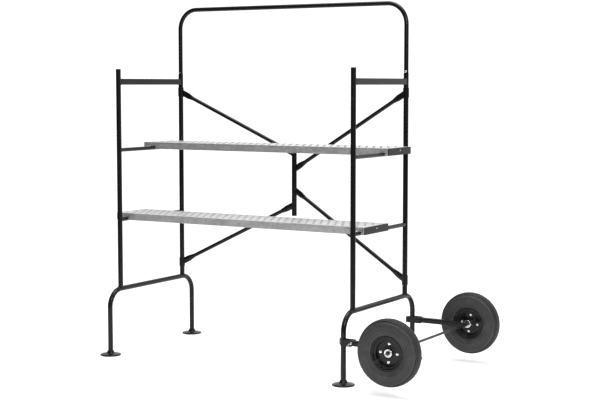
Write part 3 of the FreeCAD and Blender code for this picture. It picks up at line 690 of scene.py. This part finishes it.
def detail(turn, point):
    """How far the surface stands proud of the plain section: grooves below it, rings above it."""
    lift = 0.0
    for groove, half_wide in ((0.0, 0.0022), (0.0125, 0.0024), (0.0245, 0.0024), (0.0345, 0.0020)):
        if point.x > SECTION + 0.02:
            lift -= 0.0055 * max(0.0, min(1.0, (half_wide - abs(point.y - groove)) / 0.0006 + 1))
    for ring, tall, wide in ((0.43, 0.0022, 0.012), (0.52, -0.0014, 0.008), (0.66, 0.0018, 0.010),
                             (0.76, -0.0018, 0.010), (0.90, 0.0024, 0.018)):
        lift += tall * math.exp(-((turn - ring) / wide) ** 2)
    return lift


wall = []
STEPS, NUDGE = 150, 0.002
for step in range(STEPS + 1):
    turn = step / STEPS
    here = wall_point(turn)
    run = (wall_point(min(turn + NUDGE, 1.0)) - wall_point(max(turn - NUDGE, 0.0))).normalized()
    normal = Vector((run.y, -run.x))
    wall.append(here + normal * detail(turn, here))
half_wall = [(max(p.x, SEAT + 0.004), p.y) for p in wall if p.x > FLANGE + 0.001]
half_wall += [(FLANGE - 0.001, WEB + 0.0022), (SEAT + 0.002, WEB - 0.0006), (SEAT, WEB - 0.003)]
inside = [(SECTION + (HALF - WALL) * math.cos(a), (HALF - WALL) * math.sin(a))
          for a in (math.radians(d) for d in range(144, -145, -12))]
tyre_outline = ([(r, -z) for r, z in reversed(half_wall[1:])] + half_wall + [(SEAT, BEAD)]
                + inside + [(SEAT, -BEAD)])
hubs = {}
for side, way in WHEEL_SIDES:
    hubs[side] = middle(f"{side}_tyre")
    shown(f"{side}_tyre_moulded", moved(turned(tyre_outline, 144), facing(hubs[side], (0, way, 0))),
          "tyre_rubber", f"{side}_wheel", [f"{side}_tyre"])
print("tyre outline", len(tyre_outline), "points, radius", round(TYRE, 4))

# %% [markdown]
# ## Rims, hubs and bearings
# A rim is two steel pressings bolted back to back. Pressed steel has no sharp corner, so each corner of the
# outline gets the bend radius of a 2.5 mm sheet. The outline also carries the ring of weld that holds the
# hub.

# %% Pressings
SHEET, WELL, STEP = 0.0025, 0.0725, 0.0216
HUB, BEARING = 0.024, 0.012
rim_outline = rounded([
    (HUB, 0, 0), (WELL + SHEET, 0, 0.007), (WELL + SHEET, STEP, 0.003), (SEAT, STEP, 0.0055),
    (SEAT, WEB, 0.0015), (FLANGE, WEB, 0.001), (FLANGE, WEB + SHEET, 0.0012),
    (SEAT - SHEET, WEB + SHEET, 0.004), (SEAT - SHEET, STEP + SHEET, 0.003), (WELL, STEP + SHEET, 0.0055),
    (WELL, SHEET, 0.0045),
    (0.0385, SHEET, 0.004), (0.0365, SHEET + 0.0016, 0.002), (HUB + 0.005, SHEET + 0.0016, 0.001),
    (HUB + 0.0022, SHEET + 0.006, 0.002), (HUB, SHEET + 0.0065, 0)], 5)
hub_low, hub_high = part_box("front_hub")
hub_out, hub_in = hubs["front"].y - hub_low.y, hub_high.y - hubs["front"].y
hub_outline = rounded([(0.020, -hub_in, 0.0006), (HUB, -hub_in, 0.0016), (HUB, hub_out, 0.0016),
                       (0.020, hub_out, 0.0006)], 3)
bearing_outline = rounded([
    (0.00806, 0, 0.0004), (0.0110, 0, 0.0006), (0.0115, 0.0009, 0.0003), (0.0170, 0.0009, 0.0003),
    (0.0175, 0, 0.0006), (0.020, 0, 0.0006), (0.020, BEARING, 0.0006), (0.0175, BEARING, 0.0006),
    (0.0170, 0.0111, 0.0003), (0.0115, 0.0111, 0.0003), (0.0110, BEARING, 0.0006),
    (0.00806, BEARING, 0.0004)], 2)
for side, way in WHEEL_SIDES:
    lay = facing(hubs[side], (0, way, 0))
    for half, faces_out in (("outer", 1), ("inner", -1)):
        node = f"{side}_{half}_rim"
        shown(f"{node}_pressing", moved(turned(rim_outline, 96), facing(hubs[side], (0, way * faces_out, 0))),
              "rim_paint", f"{side}_wheel", [node])
    shown(f"{side}_hub_turned", moved(turned(hub_outline, 64), lay), "zinc", f"{side}_wheel", [f"{side}_hub"])
    bearings = [moved(turned(bearing_outline, 48), lay @ Matrix.Translation((0, 0, z)))
                for z in (hub_out - BEARING, -hub_in)]
    shown(f"{side}_bearing_rings", joined(*bearings), "zinc", f"{side}_wheel", [f"{side}_bearings"])

# %% [markdown]
# ## Bolts
# One bolt with its washer, head, nut and thread end is made with care, and Geometry Nodes set four of them on
# the bolt circle. A hexagon is a loft of four rings, and the smaller ones at its ends make the chamfers.


# %% Hexagons and the rim bolt
THREAD, ACROSS_FLATS, HEAD = 0.004, 0.014, 0.006
BOLT_CIRCLE = 0.0525


def hexagon(width, height, low=0.0):
    """A hexagon head about Z, chamfered on its top. A height below zero makes it stand downwards."""
    full = width / math.sqrt(3)
    rings = []
    for radius, z in ((full * 0.97, 0), (full, height * 0.08), (full, height * 0.8), (full * 0.88, height)):
        corners = [math.radians(60 * k) for k in range(6)]
        rings.append([(radius * math.cos(angle), radius * math.sin(angle), low + z) for angle in corners])
    return lofted(rings)


def rod(radius, low, high, steps=24):
    """A round rod about Z, with a chamfer at each end."""
    chamfer = radius * 0.18
    return turned([(0, low), (radius - chamfer, low), (radius, low + chamfer), (radius, high - chamfer),
                   (radius - chamfer, high), (0, high)], steps)


washer = turned(rounded([(0.0042, 0, 0.0002), (0.0082, 0, 0.0003), (0.0082, 0.0012, 0.0004),
                         (0.0042, 0.0012, 0.0002)], 2), 32)
bolt = joined(
    moved(washer, Matrix.Translation((0, 0, SHEET))), hexagon(ACROSS_FLATS, 0.0052, SHEET + 0.0010),
    moved(dome(0.0052, 0.0008), Matrix.Translation((0, 0, SHEET + 0.0060))),
    hexagon(ACROSS_FLATS, -HEAD, -SHEET), rod(THREAD, -SHEET - 0.008, SHEET))


def circle_tree(tree, entry, size):
    """The source piece, at even steps round a circle."""
    ring = tree.node("GeometryNodeMeshCircle", {}, {"Vertices": size["Count"], "Radius": size["Circle"]})
    spun = tree.node("ShaderNodeCombineXYZ", {}, {"Z": size["First"] * (math.pi / 180)})
    turned_ring = tree.node("GeometryNodeTransform", {}, {"Geometry": ring, "Rotation": spun})
    return tree.node("GeometryNodeInstanceOnPoints", {}, {"Points": turned_ring, "Instance": entry})


def wheel_face(side, way):
    """The matrix that sends Z out of a wheel's outer side, while X stays along the decks."""
    return Matrix.Translation(hubs[side]) @ Matrix.Rotation(math.radians(-90 * way), 4, "X")


FIRST_BOLT = {"front": -2.0, "back": 7.0}
for side, way in WHEEL_SIDES:
    set_of_bolts = grown(f"{side}_bolt_set", circle_tree, placed("seed", bolt.copy()), "zinc",
                         {"Count": 4, "Circle": BOLT_CIRCLE, "First": FIRST_BOLT[side]})
    set_of_bolts.transform(wheel_face(side, way))
    shown(f"{side}_bolt_heads", set_of_bolts, "zinc", f"{side}_wheel", [f"{side}_rim_bolts"])

# %% [markdown]
# ## Valve stems
# The stem is black rubber and swells where it goes through the rim, with a ribbed cap on its end.

# %% Stems
stem_outline = rounded([(0, 0.014, 0), (0.0052, 0.014, 0.001), (0.0062, 0.022, 0.001), (0.0062, 0.026, 0.001),
                        (0.0046, 0.029, 0.001), (0.0043, 0.0355, 0.0004), (0.0050, 0.0360, 0.0003),
                        (0.0050, 0.0432, 0.001), (0, 0.0432, 0)], 2)
STEM_ANGLE, STEM_CIRCLE = {"front": 242.0, "back": 71.0}, 0.082
for side, way in WHEEL_SIDES:
    lay = (wheel_face(side, way) @ Matrix.Rotation(math.radians(STEM_ANGLE[side]), 4, "Z")
           @ Matrix.Translation((STEM_CIRCLE, 0, 0)))
    shown(f"{side}_valve_stem", moved(turned(stem_outline, 28), lay), "tube_rubber", f"{side}_wheel")

# %% [markdown]
# ## Axle, washers and split pins
# The axle stands still and the wheels turn on it. A washer and a split pin hold each wheel, and a spacer
# keeps it off the arm.

# %% Axle fasteners
AXLE, SPACER = 0.008, 0.0125
axle_low, axle_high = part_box("axle")
axle = middle("axle")
shown("axle_rod", moved(rod(AXLE, axle_low.y, axle_high.y, 40), facing((axle.x, 0, axle.z), (0, 1, 0))),
      "axle_steel", "root", ["axle"])


def wire(points, radius):
    """A smooth round wire through points, as a mesh."""
    data = bpy.data.curves.new("wire", "CURVE")
    data.dimensions = "3D"
    data.bevel_depth = radius
    data.bevel_resolution = 2
    data.resolution_u = 6
    data.use_fill_caps = True
    run = data.splines.new("NURBS")
    run.points.add(len(points) - 1)
    for point, place in zip(run.points, points):
        point.co = (*place, 1.0)
    run.order_u = 3
    run.use_endpoint_u = True
    mesh = baked(placed("wire", data))
    work = bmesh.new()
    work.from_mesh(mesh)
    bmesh.ops.remove_doubles(work, verts=work.verts, dist=1e-7)
    bmesh.ops.recalc_face_normals(work, faces=work.faces)
    work.to_mesh(mesh)
    work.free()
    return mesh


def spacer(low, high):
    """A ring on the axle between two heights, with eased outer edges."""
    return turned(rounded([(AXLE, low, 0.0002), (SPACER, low, 0.0006), (SPACER, high, 0.0006),
                           (AXLE, high, 0.0002)], 2), 48)


PIN_REACH, PLAY, ARM_SIDE, ARM_HALF = 0.0075, 0.0005, 0.448, 0.0095
WASHER = 0.003
pieces = []
for side, way in WHEEL_SIDES:
    lay = facing((axle.x, 0, axle.z), (0, way, 0))
    face = abs(hubs[side].y) + hub_out + PLAY
    inner = abs(hubs[side].y) - hub_in - PLAY
    pieces += [moved(spacer(face, face + WASHER), lay), moved(spacer(ARM_SIDE + ARM_HALF, inner), lay)]
    pin = face + PIN_REACH - PLAY
    eye = [(0, pin, 0.0075), (-0.0021, pin, 0.0100), (-0.0026, pin, 0.0135), (0, pin, 0.0158),
           (0.0026, pin, 0.0135), (0.0021, pin, 0.0100), (0, pin, 0.0075)]
    legs = [[(off, pin, 0.0080), (off, pin, -0.0085), (off * 1.2, pin, -0.0100), (off * 4.5, pin, -0.0120)]
            for off in (-0.0007, 0.0007)]
    for points, radius in ((eye, 0.0009), (legs[0], 0.0007), (legs[1], 0.0007)):
        pieces.append(moved(wire([(x, way * y, z) for x, y, z in points], radius),
                            Matrix.Translation((axle.x, 0, axle.z))))
shown("axle_washers_and_pins", joined(*pieces), "axle_steel", "root", ["axle_fasteners"])

# %% [markdown]
# ## Wheel arms
# Each arm is a square tube. Its end was pressed flat and tall in a press, then trimmed to a blunt point round
# the axle. That is a loft: the same rounded rectangle, changing size along the arm. A plate on its inner side
# reaches past the leg.

# %% Arms
clamp_low, clamp_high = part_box("front_clamp")
ARM_HIGH, CLAMP_HALF = (clamp_low.z + clamp_high.z) / 2, (clamp_high.z - clamp_low.z) / 2
ARM, FLAT, PLATE, THICK = 0.015875, 0.0095, 0.0045, 0.003
ARM_START, NOSE = 0.018, 0.0134
right_leg = middle("right_leg_hoop").x
plate_low, front_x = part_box("front_arm")[0].x, clamp_high.x


def bar_ring(x, half_wide, half_tall, corner, z=0.0):
    """The arm's section at x: a rounded rectangle whose middle is z above the axle."""
    outline = rectangle((-half_wide, -half_tall), (half_wide, half_tall), corner, 4)
    return [(x, y, z + up) for y, up in outline]


def plate_ring(y):
    """The side plate's outline at y, with rounded corners."""
    outline = rectangle((plate_low, -CLAMP_HALF), (front_x, CLAMP_HALF), 0.008, 5)
    return [(x, y, z) for x, z in outline]


for side, way in WHEEL_SIDES:
    rings = [bar_ring(right_leg + ARM_START, ARM, ARM, 0.004, ARM_HIGH - axle.z)]
    for behind, half_wide, half_tall, risen in (
            (0.135, ARM, ARM, 1.0), (0.118, 0.0142, 0.0172, 0.95), (0.104, 0.0120, 0.0187, 0.8),
            (0.090, 0.0103, 0.0192, 0.6), (0.078, FLAT, 0.0188, 0.4), (0.050, FLAT, 0.0170, 0.0),
            (0.020, FLAT, 0.0148, 0.0), (0.0, FLAT, NOSE, 0.0)):
        rings.append(bar_ring(axle.x - behind, half_wide, half_tall, 0.0032, risen * (ARM_HIGH - axle.z)))
    for turn in (20, 38, 54, 68, 79, 86):
        tall, thin = NOSE * math.cos(math.radians(turn)), FLAT - 0.004 * (turn / 90) ** 3
        rings.append(bar_ring(axle.x + NOSE * math.sin(math.radians(turn)), thin, tall,
                              0.8 * min(0.0035, tall, thin)))
    bar = moved(lofted(rings), Matrix.Translation((0, way * ARM_SIDE, axle.z)))
    plate = moved(lofted([plate_ring(-way * ARM), plate_ring(-way * (ARM + PLATE))]),
                  Matrix.Translation((0, way * ARM_SIDE, ARM_HIGH)))
    shown(f"{side}_arm_pressed", joined(bar, plate), "frame_paint", "root", [f"{side}_arm"], bevel=0.0005)

# %% [markdown]
# ## Clamps
# A clamp is a flat strap. Its end hooks behind the arm's plate, it wraps round the leg, and a bolt draws its
# other end towards the plate. The ring of the loft is the strap's section, and its height falls away over
# the last 20 mm so that the end is round.


# %% Straps
ROUND_END, HOOK_HALF, LIP = 0.020, 0.013, 0.012


def strap_path(grow):
    """The strap's line from above, grow outside its inner face, with its half height at each point."""
    half = POST + grow
    points = [(front_x - d, -half, CLAMP_HALF * math.sqrt(max(0.0001, 1 - max(0.0, 1 - d / ROUND_END) ** 2)))
              for d in (0.0002, 0.0008, 0.002, 0.004, 0.007, 0.011, 0.015, 0.020, 0.040)]
    points += [(right_leg - half * math.sin(a), -half * math.cos(a), CLAMP_HALF)
               for a in (math.radians(d) for d in range(0, 91, 10))]
    hook = POST + PLATE + THICK
    return points + [(right_leg - half, y, tall) for y, tall in (
        (POST - 0.0045, CLAMP_HALF), (POST - 0.0005, HOOK_HALF), (hook, HOOK_HALF))]


def strap_ring(near, far, way):
    """The strap's section between a point of its inner face and the point of its outer face beside it."""
    (x, y, tall), (far_x, far_y, _) = near, far
    return [(x, -way * y, -tall), (far_x, -way * far_y, -tall),
            (far_x, -way * far_y, tall), (x, -way * y, tall)]


for side, way in WHEEL_SIDES:
    rings = [strap_ring(near, far, way) for near, far in zip(strap_path(0.0), strap_path(THICK))]
    lip_in, lip_out, lip_end = POST + PLATE, POST + PLATE + THICK, right_leg - POST - THICK
    lip = [strap_ring((x, lip_in, HOOK_HALF), (x, lip_out, HOOK_HALF), way)
           for x in (lip_end - LIP, lip_end + 0.0002)]
    strap = joined(lofted(rings), lofted(lip))
    shown(f"{side}_clamp_strap", moved(strap, Matrix.Translation((0, way * ARM_SIDE, ARM_HIGH))),
          "frame_paint", "root", [f"{side}_clamp"], bevel=0.0005)

# %% [markdown]
# ## Clamp bolts and wing nuts
# Each clamp's bolt has a wing nut, so that the wheels come off without a wrench. A wing is a rounded ear,
# thick at its root and thin at its tip.


# %% Wing nuts
def wing(way):
    """One ear of a wing nut, in the plane through X and Z."""
    rings = []
    for share in (0, 0.15, 0.4, 0.65, 0.85, 1.0):
        tip = share == 1.0
        thick = 0.0024 - 0.0012 * share
        low = 0.0015 + 0.0065 * share + 0.003 * tip
        high = min(low + 0.0085 + 0.0045 * math.sin(math.pi * min(share, 0.75)) - 0.006 * tip, 0.0140)
        ring = rectangle((-thick, low), (thick, high), thick * 0.8, 2)
        rings.append([(way * (0.0055 + 0.0125 * share), y, z) for y, z in ring])
    return lofted(rings)


WING_TILT, BOLT_END = 35, 0.0125
boss = turned(rounded([(0, 0, 0), (0.0088, 0, 0.0006), (0.0070, 0.0085, 0.001), (0, 0.0085, 0)], 3), 32)
bolts, nuts = [], []
for side, way in WHEEL_SIDES:
    lay = facing((middle("clamp_bolts").x, way * ARM_SIDE, ARM_HIGH), (0, way, 0))
    tilt = Matrix.Translation((0, 0, POST + THICK)) @ Matrix.Rotation(math.radians(WING_TILT), 4, "Z")
    bolts.append(moved(rod(THREAD, -POST - PLATE, POST + THICK + BOLT_END), lay))
    bolts.append(moved(hexagon(ACROSS_FLATS, -HEAD), lay @ Matrix.Translation((0, 0, -POST - PLATE))))
    nuts += [moved(part, lay @ tilt) for part in (boss, wing(1), wing(-1))]
shown("clamp_bolts_black", joined(*bolts), "axle_steel", "root", finish="frame_paint")
shown("clamp_wing_nuts", joined(*nuts), "zinc", "root", ["clamp_bolts"])

# %% [markdown]
# ## Floor, light and camera
# The studio is plain: a pale floor that glows a little, a large soft lamp overhead, a small one on the right,
# and a world that is brighter behind and above. Glossy paint shows what is around it, so the world in front
# is kept dim. The backdrop itself looks white.

# %% Floor
FLOOR_RADIUS = 3.6
bpy.ops.mesh.primitive_circle_add(vertices=96, radius=FLOOR_RADIUS, fill_type="NGON",
                                  location=(0, 0, -0.0005))
floor = bpy.context.object
floor.name = "studio_floor"
pale = Finish("studio_floor", Roughness=1.0, Specular_IOR_Level=0.0, Emission_Strength=0.36)
pale.feed("Base Color", pale.blend(pale.noise(0.6, 2.0), grey(0.86), grey(0.88)))
pale.shader.inputs["Emission Color"].default_value = grey(1.0)
floor.data.materials.append(pale.material)

# %% Light
BACKDROP = 1.2
world = bpy.data.worlds.new("studio")
world.use_nodes = True
bpy.context.scene.world = world
sky = Tree(world.node_tree)
sky.tree.nodes.clear()
direction = sky.node("ShaderNodeTexCoord", output="Generated")
backward = sky.node("ShaderNodeSeparateXYZ", {}, {0: direction}, output="Y")
upward = backward.other("Z")
glow = backward.above(0.2, 0.9) * 1.0 + upward.above(0.3, 0.95) * 0.4 + 0.07
seen = sky.node("ShaderNodeLightPath", output="Is Camera Ray")
light = sky.node("ShaderNodeBackground", {},
                 {"Color": grey(1.0), "Strength": glow + seen * (BACKDROP - glow)})
surround = sky.tree.nodes.new("ShaderNodeOutputWorld")
sky.tree.links.new(light.socket, surround.inputs["Surface"])


def lamp(name, place, aim, wide, power):
    """A soft rectangular lamp that points at aim."""
    data = bpy.data.lights.new(name, "AREA")
    data.shape = "RECTANGLE"
    data.size, data.size_y = wide
    data.energy = power
    thing = placed(name, data)
    thing.location = place
    thing.rotation_euler = (Vector(aim) - Vector(place)).to_track_quat("-Z", "Y").to_euler()


lamp("overhead", (0.2, 0.2, 5.5), (0, 0, 0), (4.5, 3.5), 300)
lamp("right_softbox", (4.2, -3.6, 3.6), (0.4, 0, 0.7), (1.2, 1.6), 130)

# %% Camera
camera_data = bpy.data.cameras.new("camera")
camera_data.lens = 81.07
camera_data.sensor_width = 36.0
camera = placed("camera", camera_data)
camera.location = (4.3579, -7.1689, 1.7318)
camera.rotation_euler = (math.radians(90 - 4.895), 0.0, math.radians(30.936))
bpy.context.scene.camera = camera
bpy.context.scene.view_settings.view_transform = "Standard"
